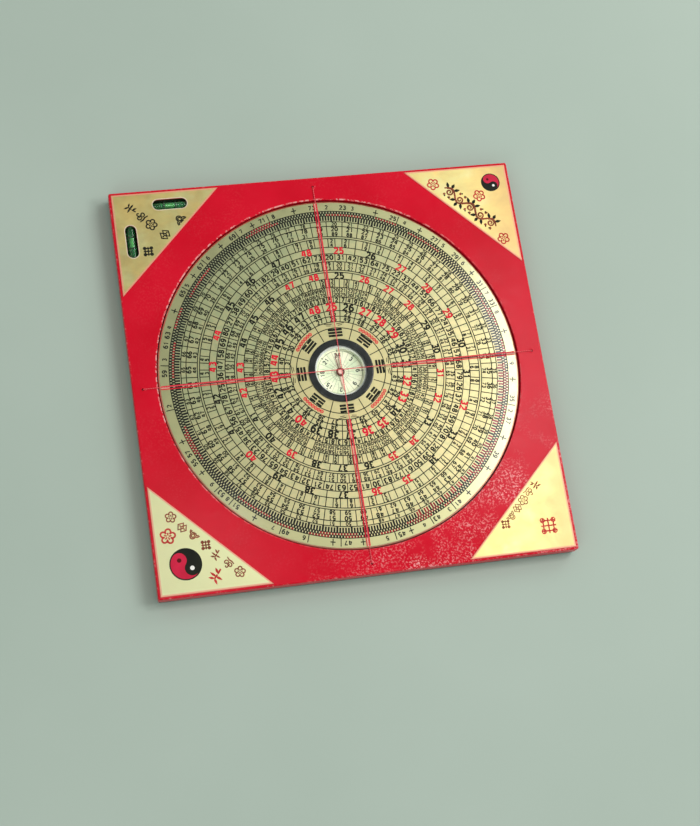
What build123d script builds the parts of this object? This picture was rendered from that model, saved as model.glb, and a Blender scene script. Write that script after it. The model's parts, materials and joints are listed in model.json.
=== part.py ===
from build123d import *
from math import sqrt
import os

# Feng shui compass: a square red board with a round dial that turns in it, a needle capsule at the
# dial's centre, two cross threads over the dial and four brass corner plates, one with two levels.
# Lengths are in mm. The board lies flat, +Z up, the origin under its centre, +Y towards the edge
# beside the levels.

# Board, whose width follows from the dial and the narrowest red rim beside it
board_rim = 15.0
board_corner_round = 1.2

# Base board
base_thickness = 4.0
base_inset = 0.4
base_edge_chamfer = 0.5

# Red panel
panel_thickness = 7.0
panel_edge_round = 0.8
well_gap = 0.7
well_lip_round = 0.35

# Dial
dial_radius = 109.3
dial_sink = 1.2
face_thickness = 1.0
face_bevel_width = 0.9
face_bevel_height = 0.4
core_setback = 0.3

# Capsule cup, which is also the dial's spindle
cup_radius = 17.4
cup_wall = 1.6
cup_floor = 0.8
cup_flange_radius = 22.0
spindle_radius = 5.0
glass_radius = 16.6
glass_thickness = 0.9
bezel_outer_radius = 19.8
bezel_inner_radius = 15.75
bezel_height = 0.95
bezel_outer_round = 0.65
bezel_inner_round = 0.25
card_radius = 15.6
card_thickness = 0.3
card_hole_radius = 1.3
spacer_wall = 0.9

# Bush, washer and screw that hold the spindle in the base board
bush_wall = 2.0
bush_flange_radius = 9.0
bush_flange_thickness = 0.35
washer_radius = 7.5
washer_thickness = 0.5
washer_pocket_radius = 8.5
washer_pocket_depth = 1.6
spindle_screw_radius = 1.5
spindle_screw_length = 2.9
spindle_screw_head_radius = 3.4
spindle_screw_head_height = 0.65
screw_slot_width = 0.6
screw_slot_depth = 0.35
tapping_allowance = 0.25

# Pivot pin and needle
pin_foot_radius = 0.6
pin_foot_depth = 0.5
pin_collar_radius = 1.1
pin_collar_height = 0.45
pin_shaft_radius = 0.5
pin_shaft_height = 0.4
pin_point_height = 0.5
pin_tip_radius = 0.08
jewel_radius = 1.5
jewel_height = 1.0
jewel_cup_radius = 1.0
jewel_cup_depth = 0.5
jewel_cup_tip_radius = 0.13
jewel_dome = 0.3
collar_radius = 2.6
collar_sleeve_radius = 2.0
collar_sleeve_height = 0.45
collar_head_height = 0.8
collar_edge_round = 0.25
blade_thickness = 0.25
blade_hub_radius = 2.45
blade_bearing = 4.0
pointer_length = 12.6
pointer_neck_half_width = 0.55
pointer_head_half_width = 1.15
pointer_head_share = 0.74
pointer_rim = 0.42
tail_length = 11.4
tail_root_half_width = 0.8
tail_tip_half_width = 0.45

# Cross threads and the ferrules that end them
thread_radius = 0.25
thread_hole_radius = 0.7
thread_hole_lip_width = 0.95
thread_hole_lip_height = 0.15
thread_hole_from_well = 8.8
thread_lift = 0.05
thread_bend_radius = 0.6
thread_crest_radius = 60.0
bead_radius = 0.55
ferrule_radius = 1.4
ferrule_length = 2.6

# Corner plates
plate_leg = 65.0
plate_margin = 1.5
plate_thickness = 0.8
plate_proud = 0.3
plate_bevel = 0.25
window_length = 21.0
window_width = 6.8

# Levels in the upper left corner plate, each set in from the plate's edge and at a share of its leg
across_level_inset = 8.3
across_level_leg_share = 0.534
along_level_inset = 9.2
along_level_leg_share = 0.474
vial_radius = 3.1
vial_wall = 0.6
vial_length = 24.0
vial_plug_length = 1.6
bubble_radius = 0.95
bubble_length = 6.0
bubble_travel = 5.0
bubble_rise = 1.3

# Wood screws that hold the base board to the red panel
wood_screw_radius = 1.2
wood_screw_length = 7.4
wood_screw_point = 1.6
wood_screw_head_radius = 2.5
wood_screw_head_height = 1.3
wood_screw_sink = 0.3
wood_screw_from_edge = 8.0
wood_screw_from_middle_share = 0.48

# Fits
running_gap = 0.05
seat_gap = 0.1
clear_gap = 0.3

# Heights worked out from the sizes above
panel_top = base_thickness + panel_thickness
face_top = panel_top - dial_sink
face_bottom = face_top - face_thickness
dial_bottom = base_thickness + bush_flange_thickness + running_gap
cup_floor_top = dial_bottom + cup_floor
glass_bottom = face_top - glass_thickness
lip_top = panel_top + thread_hole_lip_height
plate_top = panel_top + plate_proud
plate_bottom = plate_top - plate_thickness
vial_height = base_thickness + vial_radius + running_gap
washer_top = washer_pocket_depth - running_gap
washer_bottom = washer_top - washer_thickness

well_radius = dial_radius + well_gap
half_board = well_radius + board_rim
board_width = half_board + half_board
thread_hole_offset = well_radius + thread_hole_from_well
cup_bore_radius = cup_radius - cup_wall
capsule_hole_radius = cup_radius + running_gap
vial_bore_radius = vial_radius - vial_wall


def disc(radius, bottom, top):
    """A round plate about the Z axis between two heights."""
    return Pos(0, 0, bottom) * Cylinder(radius, top - bottom, align=(Align.CENTER, Align.CENTER, Align.MIN))


def turned(points):
    """A turned solid from an outline of (radius, height) points."""
    outline = Polyline([(radius, 0, height) for radius, height in points], close=True)
    return revolve(make_face(outline), axis=Axis.Z)


def square_slab(width, bottom, top, corner_round):
    """A square plate with rounded upright edges."""
    return Pos(0, 0, bottom) * extrude(RectangleRounded(width, width, corner_round), top - bottom)


def corner_triangle(leg, margin):
    """A right triangle in the corner at -X, +Y, its right angle at the margin from both edges."""
    x = margin - half_board
    y = half_board - margin
    return make_face(Polyline((x, y), (x + leg, y), (x, y - leg), close=True))


def plate_seat(gap):
    """The outline of a plate's seat, wider than the plate by the gap all round."""
    return corner_triangle(plate_leg + gap * (2 + sqrt(2)), plate_margin - gap)


def at_corner(shape, quarter_turns):
    """The shape of the upper left corner, turned clockwise to another corner."""
    return Rot(0, 0, -90 * quarter_turns) * shape


def level_places():
    """Where the two vials lie: a name, the centre, and the turn about Z."""
    corner_x = plate_margin - half_board
    corner_y = half_board - plate_margin
    across = Pos(corner_x + plate_leg * across_level_leg_share, corner_y - across_level_inset, 0)
    along = Pos(corner_x + along_level_inset, corner_y - plate_leg * along_level_leg_share, 0)
    return (("across", across), ("along", along * Rot(0, 0, 90)))


def thread_places():
    """The four holes of the cross threads."""
    return PolarLocations(thread_hole_offset, 4)


def screw_places():
    """Two wood screws along each side of the board."""
    side = half_board - wood_screw_from_edge
    reach = half_board * wood_screw_from_middle_share
    spots = []
    for a in (-1, 1):
        for b in (-1, 1):
            spots.append(Pos(a * side, b * reach, 0))
            spots.append(Pos(a * reach, b * side, 0))
    return spots


def wood_screw(gap=0.0):
    """A countersunk screw that points up, or with a gap the hole that it needs."""
    tip = wood_screw_sink + wood_screw_length + gap
    return turned(
        [
            (0, wood_screw_sink),
            (wood_screw_head_radius + gap, wood_screw_sink),
            (wood_screw_radius + gap, wood_screw_sink + wood_screw_head_height),
            (wood_screw_radius + gap, tip - wood_screw_point),
            (0, tip),
        ]
    )


def slotted(head_bottom, head_radius):
    """The driving slot of a screw whose head looks down."""
    length = head_radius + head_radius
    slot = Box(length, screw_slot_width, screw_slot_depth, align=(Align.CENTER, Align.CENTER, Align.MIN))
    return Pos(0, 0, head_bottom) * slot


def base_screws():
    one = wood_screw() - slotted(wood_screw_sink, wood_screw_head_radius)
    return Compound(children=[place * one for place in screw_places()])


def base_board():
    width = board_width - base_inset - base_inset
    board = square_slab(width, 0, base_thickness, board_corner_round)
    board = chamfer(board.faces().sort_by(Axis.Z)[0].edges(), base_edge_chamfer)
    board -= disc(spindle_radius + running_gap + bush_wall + running_gap, 0, base_thickness)
    board -= disc(washer_pocket_radius, 0, washer_pocket_depth)
    for place in thread_places():
        board -= place * disc(ferrule_radius + seat_gap, 0, base_thickness)
    for place in screw_places():
        board -= place * disc(wood_screw_head_radius + running_gap, 0, wood_screw_sink)
        board -= place * wood_screw(running_gap)
    return board


def vial_pocket():
    """The slot through the red panel that a vial lies in, resting on the base board."""
    length = vial_length + clear_gap + clear_gap
    width = vial_radius + vial_radius + clear_gap
    slot = extrude(RectangleRounded(length, width, vial_wall), panel_thickness)
    return Pos(0, 0, base_thickness) * slot


def thread_hole_lip():
    """The low sloping ring of lacquer round a thread hole."""
    outer = thread_hole_radius + thread_hole_lip_width
    inner = thread_hole_radius + thread_hole_lip_width / 2
    return turned([(0, plate_bottom), (outer, plate_bottom), (outer, panel_top), (inner, lip_top), (0, lip_top)])


def red_panel():
    panel = square_slab(board_width, base_thickness, panel_top, board_corner_round)
    panel = fillet(panel.faces().sort_by(Axis.Z)[-1].edges(), panel_edge_round)
    panel -= disc(well_radius, base_thickness, panel_top)
    top_face = panel.faces().filter_by(Axis.Z).sort_by(Axis.Z)[-1]
    lip = top_face.edges().filter_by(GeomType.CIRCLE).sort_by(SortBy.RADIUS)[-1]
    panel = fillet(lip, well_lip_round)
    seat = Pos(0, 0, plate_bottom) * extrude(plate_seat(seat_gap), plate_thickness)
    for quarter in range(4):
        panel -= at_corner(seat, quarter)
    for name, place in level_places():
        panel -= place * vial_pocket()
    for place in thread_places():
        panel += place * thread_hole_lip()
        panel -= place * disc(thread_hole_radius, base_thickness, lip_top)
    for place in screw_places():
        panel -= place * wood_screw(running_gap)
    return panel


def corner_plate(quarter_turns, with_windows):
    """A bevelled brass triangle that lies in its seat and stands a little proud."""
    plate = Pos(0, 0, plate_bottom) * extrude(corner_triangle(plate_leg, plate_margin), plate_thickness)
    if with_windows:
        slot = SlotOverall(window_length, window_width)
        for name, place in level_places():
            plate -= place * Pos(0, 0, plate_bottom) * extrude(slot, plate_thickness)
    plate = chamfer(plate.faces().sort_by(Axis.Z)[-1].edges(), plate_bevel)
    return at_corner(plate, quarter_turns)


def lying(radius, length):
    """A round bar along X at the vials' height."""
    return Pos(0, 0, vial_height) * Rot(0, 90, 0) * Cylinder(radius, length)


def vial_tube():
    return lying(vial_radius, vial_length) - lying(vial_bore_radius, vial_length)


def vial_plugs():
    plug = lying(vial_bore_radius - running_gap, vial_plug_length)
    reach = (vial_length - vial_plug_length) / 2
    return Compound(children=[Pos(-reach, 0, 0) * plug, Pos(reach, 0, 0) * plug])


def bullet(radius, length):
    """A bar with round ends, along X, near the top of a vial's bore."""
    bar = lying(radius, length - radius - radius)
    ends = [Pos(side * (length / 2 - radius), 0, vial_height) * Sphere(radius) for side in (-1, 1)]
    return Pos(0, 0, bubble_rise) * (bar + ends)


def vial_liquid():
    """The liquid, with the channel in which the bubble runs."""
    length = vial_length - vial_plug_length - vial_plug_length - seat_gap
    channel_length = bubble_length + bubble_travel + bubble_travel + clear_gap + clear_gap
    channel = bullet(bubble_radius + clear_gap, channel_length)
    return lying(vial_bore_radius - running_gap, length) - channel


def vial_bubble():
    return bullet(bubble_radius, bubble_length)


def centre_bush():
    """The brass bush in the base board, whose flange carries the dial."""
    bore = spindle_radius + running_gap
    sleeve = disc(bore + bush_wall, washer_pocket_depth, base_thickness)
    flange = disc(bush_flange_radius, base_thickness, base_thickness + bush_flange_thickness)
    return sleeve + flange - disc(bore, 0, panel_top)


def retaining_washer():
    ring = disc(washer_radius, washer_bottom, washer_top)
    return ring - disc(spindle_screw_radius + seat_gap, washer_bottom, washer_top)


def retaining_screw():
    head_bottom = washer_bottom - spindle_screw_head_height
    screw = disc(spindle_screw_head_radius, head_bottom, washer_bottom)
    screw += disc(spindle_screw_radius, washer_bottom, washer_bottom + spindle_screw_length)
    return screw - slotted(head_bottom, spindle_screw_head_radius)


def dial_core():
    core = disc(dial_radius - core_setback, dial_bottom, face_bottom)
    core -= disc(capsule_hole_radius, dial_bottom, face_bottom)
    core -= disc(cup_flange_radius + running_gap, dial_bottom, cup_floor_top)
    return core


def dial_face():
    """The printed disc, its rim sloped all round."""
    return turned(
        [
            (capsule_hole_radius, face_bottom),
            (dial_radius, face_bottom),
            (dial_radius, face_top - face_bevel_height),
            (dial_radius - face_bevel_width, face_top),
            (capsule_hole_radius, face_top),
        ]
    )


def capsule_cup():
    """The cup: a barrel through the dial, a flange under the core and the spindle below."""
    cup = disc(cup_flange_radius, dial_bottom, cup_floor_top)
    cup += disc(cup_radius, dial_bottom, face_top)
    cup += disc(spindle_radius, washer_top, dial_bottom)
    cup -= disc(cup_bore_radius, cup_floor_top, face_top)
    cup -= disc(glass_radius + seat_gap, glass_bottom, face_top)
    cup -= disc(pin_foot_radius + running_gap, cup_floor_top - pin_foot_depth - running_gap, cup_floor_top)
    screw_top = washer_bottom + spindle_screw_length + tapping_allowance
    cup -= disc(spindle_screw_radius + running_gap, washer_top, screw_top)
    return cup


def capsule_card():
    card = disc(card_radius, cup_floor_top, cup_floor_top + card_thickness)
    return card - disc(card_hole_radius, cup_floor_top, cup_floor_top + card_thickness)


def card_spacer_ring():
    """The pale ring between the card and the glass."""
    outer = cup_bore_radius - running_gap
    ring = disc(outer, cup_floor_top + card_thickness, glass_bottom)
    return ring - disc(outer - spacer_wall, cup_floor_top + card_thickness, glass_bottom)


def capsule_glass():
    return disc(glass_radius, glass_bottom, face_top)


def capsule_bezel():
    """The black ring that holds the glass, rounded over the top."""
    bezel_top = face_top + bezel_height
    ring = disc(bezel_outer_radius, face_top, bezel_top)
    ring -= disc(bezel_inner_radius, face_top, bezel_top)
    rims = ring.faces().sort_by(Axis.Z)[-1].edges().sort_by(SortBy.RADIUS)
    ring = fillet(rims[-1], bezel_outer_round)
    inner = ring.faces().filter_by(Axis.Z).sort_by(Axis.Z)[-1].edges().sort_by(SortBy.RADIUS)[0]
    return fillet(inner, bezel_inner_round)


def pin_heights():
    """The heights of the pivot pin's foot, collar, shaft and tip."""
    collar_top = cup_floor_top + pin_collar_height
    shaft_top = collar_top + pin_shaft_height
    return cup_floor_top - pin_foot_depth, collar_top, shaft_top, shaft_top + pin_point_height


def pivot_pin():
    foot, collar_top, shaft_top, tip = pin_heights()
    return turned(
        [
            (0, foot),
            (pin_foot_radius, foot),
            (pin_foot_radius, cup_floor_top),
            (pin_collar_radius, cup_floor_top),
            (pin_collar_radius, collar_top),
            (pin_shaft_radius, collar_top),
            (pin_shaft_radius, shaft_top),
            (pin_tip_radius, tip),
            (0, tip),
        ]
    )


def jewel_bottom():
    """The jewel hangs on the pin's tip with the running gap."""
    tip = pin_heights()[-1]
    return tip + running_gap - jewel_cup_depth


def needle_jewel():
    bottom = jewel_bottom()
    top = bottom + jewel_height
    return turned(
        [
            (jewel_cup_radius, bottom),
            (jewel_radius, bottom),
            (jewel_radius, top - jewel_dome),
            (jewel_radius - jewel_dome, top),
            (0, top),
            (0, bottom + jewel_cup_depth),
            (jewel_cup_tip_radius, bottom + jewel_cup_depth),
        ]
    )


def blade_bottom():
    return jewel_bottom() - blade_thickness / 2


def needle_collar():
    """The brass collar that carries the jewel and is riveted through the blade."""
    sleeve_bottom = blade_bottom() + blade_thickness - collar_sleeve_height
    head_bottom = blade_bottom() + blade_thickness
    collar = disc(collar_radius, head_bottom, head_bottom + collar_head_height)
    collar = fillet(collar.faces().sort_by(Axis.Z)[-1].edges(), collar_edge_round)
    collar += disc(collar_sleeve_radius, sleeve_bottom, head_bottom)
    return collar - disc(jewel_radius + running_gap, sleeve_bottom, panel_top)


def needle_blade():
    """A pointer with an open head and a solid tail, resting a little west of north."""
    head_at = pointer_length * pointer_head_share
    pointer = make_face(
        Polyline(
            (-pointer_neck_half_width, 0),
            (-pointer_head_half_width, head_at),
            (0, pointer_length),
            (pointer_head_half_width, head_at),
            (pointer_neck_half_width, 0),
            close=True,
        )
    )
    tail = make_face(
        Polyline(
            (-tail_root_half_width, 0),
            (tail_root_half_width, 0),
            (tail_tip_half_width, -tail_length),
            (-tail_tip_half_width, -tail_length),
            close=True,
        )
    )
    outline = pointer - offset(pointer, -pointer_rim) + tail + Circle(blade_hub_radius)
    outline -= Circle(collar_sleeve_radius + running_gap)
    return Pos(0, 0, blade_bottom()) * Rot(0, 0, blade_bearing) * extrude(outline, blade_thickness)


def cross_thread(rise):
    """A thread along X from hole to hole, its middle higher than its ends by the rise."""
    bead_height = base_thickness - ferrule_length - bead_radius
    height = lip_top + thread_lift + thread_radius
    crest = [(0, 0, height + rise)] if rise else []
    start = [(-thread_hole_offset, 0, bead_height), (-thread_hole_offset, 0, height)]
    finish = [(thread_hole_offset, 0, height), (thread_hole_offset, 0, bead_height)]
    bends = [thread_bend_radius, thread_bend_radius]
    if rise:
        bends = [thread_bend_radius, thread_crest_radius, thread_bend_radius]
    route = FilletPolyline(*start, *crest, *finish, radius=bends)
    section = Plane(origin=route @ 0, z_dir=route % 0) * Circle(thread_radius)
    thread = sweep(section, path=route)
    bead = Pos(0, 0, bead_height) * Sphere(bead_radius)
    for side in (-1, 1):
        thread += Pos(side * thread_hole_offset, 0, 0) * bead
    return thread


def cross_thread_x():
    return cross_thread(0)


def cross_thread_y():
    """The upper thread, whose middle crosses over the other one."""
    return Rot(0, 0, 90) * cross_thread(thread_radius + thread_lift + thread_radius)


def thread_ferrules():
    """A crimped tube on each thread end, drawn up against the red panel."""
    bottom = base_thickness - ferrule_length
    one = disc(ferrule_radius, bottom, base_thickness)
    one -= disc(thread_radius + running_gap, bottom, base_thickness)
    return Compound(children=[place * one for place in thread_places()])


def all_nodes():
    """Every piece under the name of its node."""
    nodes = {
        "base_board": base_board(),
        "base_screws": base_screws(),
        "red_panel": red_panel(),
        "corner_plate_upper_left": corner_plate(0, True),
        "corner_plate_upper_right": corner_plate(1, False),
        "corner_plate_lower_right": corner_plate(2, False),
        "corner_plate_lower_left": corner_plate(3, False),
        "centre_bush": centre_bush(),
        "retaining_washer": retaining_washer(),
        "retaining_screw": retaining_screw(),
        "dial_core": dial_core(),
        "dial_face": dial_face(),
        "capsule_cup": capsule_cup(),
        "capsule_card": capsule_card(),
        "card_spacer_ring": card_spacer_ring(),
        "capsule_glass": capsule_glass(),
        "capsule_bezel": capsule_bezel(),
        "pivot_pin": pivot_pin(),
        "needle_jewel": needle_jewel(),
        "needle_collar": needle_collar(),
        "needle_blade": needle_blade(),
        "cross_thread_x": cross_thread_x(),
        "cross_thread_y": cross_thread_y(),
        "thread_ferrules": thread_ferrules(),
    }
    for name, place in level_places():
        nodes["vial_tube_" + name] = place * vial_tube()
        nodes["vial_plugs_" + name] = place * vial_plugs()
        nodes["vial_liquid_" + name] = place * vial_liquid()
        nodes["vial_bubble_" + name] = place * vial_bubble()
    return nodes


os.makedirs("parts", exist_ok=True)
for node, shape in all_nodes().items():
    export_step(shape, os.path.join("parts", node + ".step"))
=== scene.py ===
import json
import math

import bpy
from mathutils import Euler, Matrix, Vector


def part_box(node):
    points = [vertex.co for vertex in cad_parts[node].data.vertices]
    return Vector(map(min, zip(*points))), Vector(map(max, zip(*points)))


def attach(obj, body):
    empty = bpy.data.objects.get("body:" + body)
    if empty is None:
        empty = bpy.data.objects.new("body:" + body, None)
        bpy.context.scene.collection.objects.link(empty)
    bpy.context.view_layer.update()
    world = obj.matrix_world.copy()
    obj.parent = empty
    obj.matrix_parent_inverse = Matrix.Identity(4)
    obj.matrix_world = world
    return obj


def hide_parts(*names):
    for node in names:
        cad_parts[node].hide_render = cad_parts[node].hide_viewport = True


# Feng shui compass: the finish of every piece, the print on the dial, the card and the corner plates,
# the twisted cross threads, and the studio round it. Sizes are in mm, which MM turns into metres, and
# angles in degrees, clockwise from +Y as a dial counts them, unless a comment says otherwise.

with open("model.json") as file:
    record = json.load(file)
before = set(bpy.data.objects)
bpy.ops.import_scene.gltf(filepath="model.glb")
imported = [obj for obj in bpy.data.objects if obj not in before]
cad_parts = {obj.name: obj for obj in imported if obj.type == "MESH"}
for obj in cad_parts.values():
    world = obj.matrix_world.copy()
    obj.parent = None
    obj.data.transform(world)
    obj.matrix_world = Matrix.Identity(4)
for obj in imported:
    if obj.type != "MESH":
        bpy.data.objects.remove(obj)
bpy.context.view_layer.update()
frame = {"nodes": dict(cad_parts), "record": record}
nodes = frame["nodes"]

MM = 0.001

# Camera, at the photograph's viewing angle
camera_place = Vector((-194.2, -298.6, 992.3)) * MM
camera_turn = Euler([math.radians(a) for a in (16.70, -8.78, -8.77)])
camera_lens = 76.07
camera_sensor = 36.0

# Studio, in metres: the ambient colour lights the object, the walls and ceiling are what is seen and mirrored
floor_size = 40.0
floor_drop = 0.0003
lamp_height = 1.5
ambient_colour = (0.49, 0.50, 0.49)
wall_colour = (0.67, 0.71, 0.65)
ceiling_colour = (0.19, 0.205, 0.185)
ceiling_start, ceiling_end = 0.5, 0.92


def low(node):
    """The lowest corner of a node, in mm."""
    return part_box(node)[0] / MM


def high(node):
    """The highest corner of a node, in mm."""
    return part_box(node)[1] / MM


# Sizes of the object, from the frame, and the few small ones that its boxes don't show
plate_proud = 0.3
well_gap = 0.7
window_length, window_width = 21.0, 6.8
half_board = high("red_panel").x
dial_radius = high("dial_face").x
face_top = high("dial_face").z
plate_top = high("corner_plate_upper_right").z
card_top = high("capsule_card").z
panel_top = plate_top - plate_proud
plate_edge = high("corner_plate_upper_right").x
plate_diagonal = low("corner_plate_upper_right").x + plate_edge
plate_low = low("corner_plate_upper_right").z
well_radius = dial_radius + well_gap
thread_radius = (high("cross_thread_x").y - low("cross_thread_x").y) / 2
thread_pitch = 1.4


# Materials


class Graph:
    """A tree of shader nodes, and short calls that make and link them."""

    def __init__(self, tree):
        self.tree = tree

    def node(self, kind, **settings):
        made = self.tree.nodes.new("ShaderNode" + kind)
        for key, value in settings.items():
            setattr(made, key, value)
        return made

    def feed(self, socket, value):
        """Links an output, or sets a plain value."""
        if isinstance(value, bpy.types.NodeSocket):
            self.tree.links.new(value, socket)
        else:
            socket.default_value = value

    def math(self, operation, first, second=0.0, clamp=False):
        made = self.node("Math", operation=operation, use_clamp=clamp)
        self.feed(made.inputs[0], first)
        self.feed(made.inputs[1], second)
        return made.outputs[0]

    def times(self, first, second):
        return self.math("MULTIPLY", first, second)

    def part(self, vector, axis):
        """The X, Y or Z (0, 1 or 2) of a vector."""
        split = self.node("SeparateXYZ")
        self.feed(split.inputs[0], vector)
        return split.outputs[axis]

    def spread(self, value, low_in, high_in, low_out=0.0, high_out=1.0, smooth=False):
        """Maps a range of the value to another, clamped."""
        kind = "SMOOTHSTEP" if smooth else "LINEAR"
        made = self.node("MapRange", interpolation_type=kind)
        for key, number in zip(("Value", "From Min", "From Max", "To Min", "To Max"),
                               (value, low_in, high_in, low_out, high_out)):
            self.feed(made.inputs[key], number)
        return made.outputs["Result"]

    def mix(self, share, first, second):
        """A colour between two, each a colour or an output."""
        made = self.node("Mix", data_type="RGBA")
        self.feed(made.inputs["Factor"], share)
        for socket, value in ((made.inputs[6], first), (made.inputs[7], second)):
            self.feed(socket, value if isinstance(value, bpy.types.NodeSocket) else (*value, 1.0))
        return made.outputs[2]

    def between(self, share, first, second):
        """A number between two."""
        made = self.node("Mix", data_type="FLOAT")
        for key, value in ((0, share), (2, first), (3, second)):
            self.feed(made.inputs[key], value)
        return made.outputs[0]


class Look(Graph):
    """A material with one Principled shader, and the nodes that drive it."""

    def __init__(self, name, colour, roughness, **values):
        self.material = bpy.data.materials.new(name)
        self.material.use_nodes = True
        super().__init__(self.material.node_tree)
        self.shader = self.tree.nodes["Principled BSDF"]
        self.set("Base Color", (*colour, 1.0))
        self.set("Roughness", roughness)
        for key, value in values.items():
            self.set(key.replace("_", " "), value)

    def set(self, socket, value):
        self.shader.inputs[socket].default_value = value

    def drive(self, socket, output):
        self.tree.links.new(output, self.shader.inputs[socket])

    def place(self):
        """The object's own coordinates, in metres, which ride with it."""
        return self.node("TexCoord").outputs["Object"]

    def coordinate(self, axis):
        """The place along X, Y or Z (0, 1 or 2), in mm."""
        return self.math("DIVIDE", self.part(self.place(), axis), MM)

    def height(self):
        return self.coordinate(2)

    def from_axis(self):
        """The distance from the dial's axis, in mm."""
        squares = (self.math("POWER", self.coordinate(axis), 2.0) for axis in (0, 1))
        return self.math("SQRT", self.math("ADD", *squares))

    def leaning(self, steep=1.0):
        """How much further a point lies to the back, taken steep times, than to the right, in mm."""
        return self.math("SUBTRACT", self.times(self.coordinate(1), steep), self.coordinate(0))

    def from_middles(self, operation):
        """The larger (MAXIMUM) or the sum (ADD) of the distances from the board's two middle lines, in mm."""
        return self.math(operation, *(self.math("ABSOLUTE", self.coordinate(axis)) for axis in (0, 1)))

    def noise(self, grain, detail=3.0, roughness=0.5, stretch=None, distortion=0.0):
        """Noise whose features are about that many mm across."""
        place = self.place()
        if stretch:
            mapping = self.node("Mapping")
            self.feed(mapping.inputs["Vector"], place)
            self.feed(mapping.inputs["Scale"], stretch)
            place = mapping.outputs["Vector"]
        made = self.node("TexNoise")
        for key, value in (("Vector", place), ("Scale", 1 / (grain * MM)), ("Detail", detail),
                           ("Roughness", roughness), ("Distortion", distortion)):
            self.feed(made.inputs[key], value)
        return made.outputs["Fac"]

    def bump(self, height, strength, depth, after=None):
        """Bump of that depth in mm, on top of an earlier one."""
        made = self.node("Bump")
        made.inputs["Strength"].default_value = strength
        made.inputs["Distance"].default_value = depth * MM
        self.feed(made.inputs["Height"], height)
        if after:
            self.feed(made.inputs["Normal"], after)
        self.drive("Normal", made.outputs["Normal"])
        return made.outputs["Normal"]


def red_lacquer():
    """Thick glossy lacquer with orange peel, with painted glints speckled over its front, worn edges that are
    also painted highlight, a painted highlight dashed along the well's lip, and painted shade in its pockets.
    """
    look = Look("red_lacquer", (0.70, 0.008, 0.022), 0.24, Specular_IOR_Level=0.16)
    body = look.mix(look.spread(look.noise(38, 4), 0.35, 0.65), (0.60, 0.003, 0.017), (0.67, 0.006, 0.024))
    # Painted glints: pale speckles on the top face, densest towards the front right, where the lamps glare
    glint_area = look.spread(look.noise(26, 3, 0.5), 0.42, 0.62)
    glint_area = look.times(glint_area, look.spread(look.leaning(1.8), -245, -165, 1.0, 0.03))
    glint_area = look.times(glint_area, look.spread(look.height(), panel_top - 0.6, panel_top - 0.2))
    painted_glints = look.times(look.spread(look.noise(1.25, 3, 0.65), 0.515, 0.60), glint_area)
    body = look.mix(look.times(painted_glints, 0.85), body, (0.94, 0.47, 0.46))

    # Pale worn patches along the board's edges, which also stand in for the highlight along them
    from_middle = look.from_middles("MAXIMUM")
    edge = look.spread(from_middle, half_board - 1.1, half_board - 0.2, smooth=True)
    edge = look.times(edge, look.spread(look.height(), panel_top - 1.0, panel_top - 0.4))
    worn_edge_and_highlight = look.times(edge, look.spread(look.noise(2.6, 5, 0.7), 0.55, 0.62))
    body = look.mix(look.times(worn_edge_and_highlight, 0.6), body, (0.80, 0.33, 0.30))

    rings = look.from_axis()
    lip = look.spread(rings, well_radius + 0.5, well_radius + 0.9, 1, 0)
    lip = look.times(lip, look.spread(look.height(), panel_top - 0.7, panel_top - 0.3))
    # Painted highlight: pale dashes along the well's lip, strongest towards the back left
    lip_highlight_dashes = look.spread(look.noise(2.4, 4, 0.7), 0.48, 0.55)
    lip_highlight_dashes = look.times(lip_highlight_dashes, look.spread(look.leaning(), -40, 60, 0.15, 1.0))
    body = look.mix(look.times(look.times(lip, lip_highlight_dashes), 0.75), body, (0.90, 0.50, 0.46))

    # Painted shade: the surfaces below the plates' underside, inside the board's sides and away from the
    # well, are near black, such as the walls of the pockets under the plates and the windows
    pocket_shade = look.times(look.spread(rings, well_radius + 0.8, well_radius + 0.9),
                        look.spread(look.height(), plate_low - 0.05, plate_low + 0.05, 1, 0))
    pocket_shade = look.times(pocket_shade, look.spread(from_middle, plate_edge, plate_edge + 0.2, 1, 0))
    look.drive("Base Color", look.mix(pocket_shade, body, (0.02, 0.03, 0.018)))
    look.drive("Roughness", look.spread(look.noise(6, 3), 0.3, 0.7, 0.14, 0.22))
    peel = look.bump(look.noise(2.2, 2, 0.45), 0.35, 0.05)
    look.bump(look.noise(30, 2), 0.25, 0.4, peel)
    return look


def black_lacquer():
    look = Look("black_lacquer", (0.022, 0.02, 0.018), 0.38)
    grain = look.noise(5, 4, 0.6, stretch=(0.06, 1.0, 1.0))
    look.drive("Base Color", look.mix(grain, (0.014, 0.012, 0.011), (0.045, 0.038, 0.032)))
    look.drive("Roughness", look.spread(look.noise(11, 3), 0.3, 0.7, 0.3, 0.5))
    look.bump(grain, 0.3, 0.12)
    return look


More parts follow.
